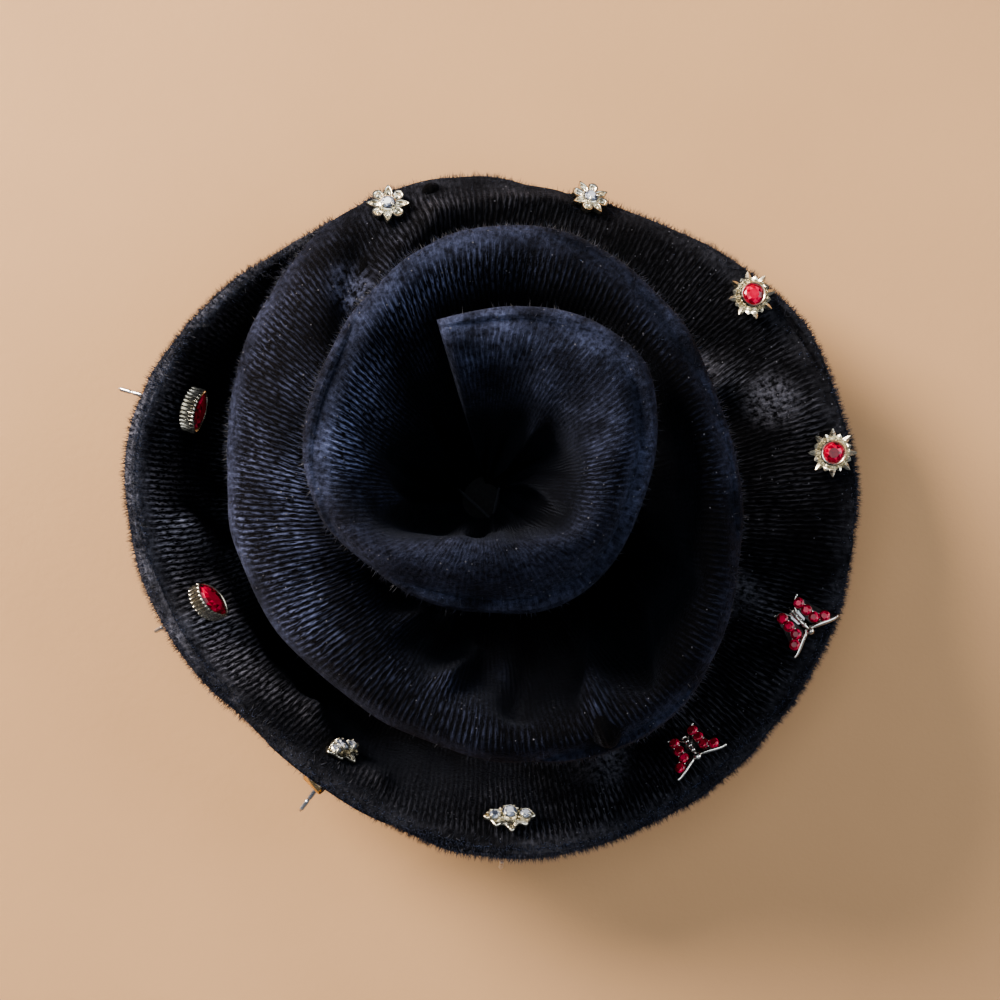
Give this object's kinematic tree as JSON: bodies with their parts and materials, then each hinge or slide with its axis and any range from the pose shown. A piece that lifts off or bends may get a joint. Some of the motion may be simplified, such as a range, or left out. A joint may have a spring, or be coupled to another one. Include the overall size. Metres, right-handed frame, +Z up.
{
  "type": "velvet rose hat pin",
  "caption": "Velvet rose coiled from one folded strip on a felt disc, with a hinged bar pin beneath and jewelled post studs held by butterfly clutches round its outer petal.",
  "frame": {"origin": "centre of the felt disc's lower face", "axes": "+Z up through the rose, away from the hat; +X along the bar pin towards its catch"},
  "size_m": [0.1051, 0.0989, 0.054],
  "materials": {
    "velvet": "ribbed stretch velvet, short pile, black with a navy sheen",
    "felt": "pressed wool felt",
    "thread": "twisted sewing thread",
    "nickel": "nickel plate, lightly worn",
    "steel": "drawn wire",
    "pale_gold": "pale champagne gold plate",
    "silver": "warm silver plate",
    "clutch_gold": "polished gold plate",
    "ruby": "foiled red glass",
    "crystal": "foiled clear glass"
  },
  "bodies": {
    "root": {"velvet_strip": "velvet", "felt_backing": "felt", "coil_stitches": "thread", "felt_edge_stitches": "thread", "pin_bar": "nickel", "bar_stitches": "thread", "hinge_rivet": "nickel", "catch_housing": "nickel"},
    "pin_stem": {"pin_stem": "steel"},
    "catch_rotor": {"catch_rotor": "nickel"},
    "flower_1_stud": {"flower_1_setting": "pale_gold", "flower_1_stone": "crystal", "flower_1_post": "steel"},
    "flower_1_clutch": {"flower_1_clutch": "clutch_gold"},
    "flower_2_stud": {"flower_2_setting": "pale_gold", "flower_2_stone": "crystal", "flower_2_post": "steel"},
    "flower_2_clutch": {"flower_2_clutch": "clutch_gold"},
    "sun_1_stud": {"sun_1_setting": "pale_gold", "sun_1_stone": "ruby", "sun_1_post": "steel"},
    "sun_1_clutch": {"sun_1_clutch": "clutch_gold"},
    "sun_2_stud": {"sun_2_setting": "pale_gold", "sun_2_stone": "ruby", "sun_2_post": "steel"},
    "sun_2_clutch": {"sun_2_clutch": "clutch_gold"},
    "butterfly_1_stud": {"butterfly_1_setting": "silver", "butterfly_1_stones": "ruby", "butterfly_1_post": "steel"},
    "butterfly_1_clutch": {"butterfly_1_clutch": "clutch_gold"},
    "butterfly_2_stud": {"butterfly_2_setting": "silver", "butterfly_2_stones": "ruby", "butterfly_2_post": "steel"},
    "butterfly_2_clutch": {"butterfly_2_clutch": "clutch_gold"},
    "tiara_1_stud": {"tiara_1_setting": "pale_gold", "tiara_1_stones": "crystal", "tiara_1_post": "steel"},
    "tiara_1_clutch": {"tiara_1_clutch": "clutch_gold"},
    "tiara_2_stud": {"tiara_2_setting": "pale_gold", "tiara_2_stones": "crystal", "tiara_2_post": "steel"},
    "tiara_2_clutch": {"tiara_2_clutch": "clutch_gold"},
    "marquise_1_stud": {"marquise_1_setting": "pale_gold", "marquise_1_stone": "ruby", "marquise_1_post": "steel"},
    "marquise_1_clutch": {"marquise_1_clutch": "clutch_gold"},
    "marquise_2_stud": {"marquise_2_setting": "pale_gold", "marquise_2_stone": "ruby", "marquise_2_post": "steel"},
    "marquise_2_clutch": {"marquise_2_clutch": "clutch_gold"}
  },
  "joints": [
    {"name": "pin_hinge", "type": "hinge", "parent": "root", "child": "pin_stem", "pos_m": [-0.0136, 0, -0.003], "axis": [0, 1, 0], "range_deg": [0, 75]},
    {"name": "catch_turn", "type": "hinge", "parent": "root", "child": "catch_rotor", "pos_m": [0.0126, 0, -0.003], "axis": [1, 0, 0], "range_deg": [0, 130]},
    {"name": "flower_1_pull", "type": "slide", "parent": "root", "child": "flower_1_stud", "axis": [0.0313, 0.4266, 0.9039], "range_m": [0, 0.0125]},
    {"name": "flower_1_clutch_off", "type": "slide", "parent": "root", "child": "flower_1_clutch", "axis": [-0.0313, -0.4266, -0.9039], "range_m": [0, 0.008]},
    {"name": "flower_2_pull", "type": "slide", "parent": "root", "child": "flower_2_stud", "axis": [0.2866, 0.5461, 0.7871], "range_m": [0, 0.0125]},
    {"name": "flower_2_clutch_off", "type": "slide", "parent": "root", "child": "flower_2_clutch", "axis": [-0.2866, -0.5461, -0.7871], "range_m": [0, 0.008]},
    {"name": "sun_1_pull", "type": "slide", "parent": "root", "child": "sun_1_stud", "axis": [0.1038, 0.0817, 0.9912], "range_m": [0, 0.0125]},
    {"name": "sun_1_clutch_off", "type": "slide", "parent": "root", "child": "sun_1_clutch", "axis": [-0.1038, -0.0817, -0.9912], "range_m": [0, 0.008]},
    {"name": "sun_2_pull", "type": "slide", "parent": "root", "child": "sun_2_stud", "axis": [-0.0494, -0.0377, 0.9981], "range_m": [0, 0.0125]},
    {"name": "sun_2_clutch_off", "type": "slide", "parent": "root", "child": "sun_2_clutch", "axis": [0.0494, 0.0377, -0.9981], "range_m": [0, 0.008]},
    {"name": "butterfly_1_pull", "type": "slide", "parent": "root", "child": "butterfly_1_stud", "axis": [-0.2892, 0.0844, 0.9536], "range_m": [0, 0.0125]},
    {"name": "butterfly_1_clutch_off", "type": "slide", "parent": "root", "child": "butterfly_1_clutch", "axis": [0.2892, -0.0844, -0.9536], "range_m": [0, 0.008]},
    {"name": "butterfly_2_pull", "type": "slide", "parent": "root", "child": "butterfly_2_stud", "axis": [-0.4091, 0.5335, 0.7403], "range_m": [0, 0.0125]},
    {"name": "butterfly_2_clutch_off", "type": "slide", "parent": "root", "child": "butterfly_2_clutch", "axis": [0.4091, -0.5335, -0.7403], "range_m": [0, 0.008]},
    {"name": "tiara_1_pull", "type": "slide", "parent": "root", "child": "tiara_1_stud", "axis": [0.5717, 0.774, 0.2723], "range_m": [0, 0.0125]},
    {"name": "tiara_1_clutch_off", "type": "slide", "parent": "root", "child": "tiara_1_clutch", "axis": [-0.5717, -0.774, -0.2723], "range_m": [0, 0.008]},
    {"name": "tiara_2_pull", "type": "slide", "parent": "root", "child": "tiara_2_stud", "axis": [0.1166, 0.7462, 0.6555], "range_m": [0, 0.0125]},
    {"name": "tiara_2_clutch_off", "type": "slide", "parent": "root", "child": "tiara_2_clutch", "axis": [-0.1166, -0.7462, -0.6555], "range_m": [0, 0.008]},
    {"name": "marquise_1_pull", "type": "slide", "parent": "root", "child": "marquise_1_stud", "axis": [0.9169, -0.263, 0.3001], "range_m": [0, 0.0125]},
    {"name": "marquise_1_clutch_off", "type": "slide", "parent": "root", "child": "marquise_1_clutch", "axis": [-0.9169, 0.263, -0.3001], "range_m": [0, 0.008]},
    {"name": "marquise_2_pull", "type": "slide", "parent": "root", "child": "marquise_2_stud", "axis": [0.715, 0.3792, 0.5874], "range_m": [0, 0.01]},
    {"name": "marquise_2_clutch_off", "type": "slide", "parent": "root", "child": "marquise_2_clutch", "axis": [-0.715, -0.3792, -0.5874], "range_m": [0, 0.008]}
  ]
}
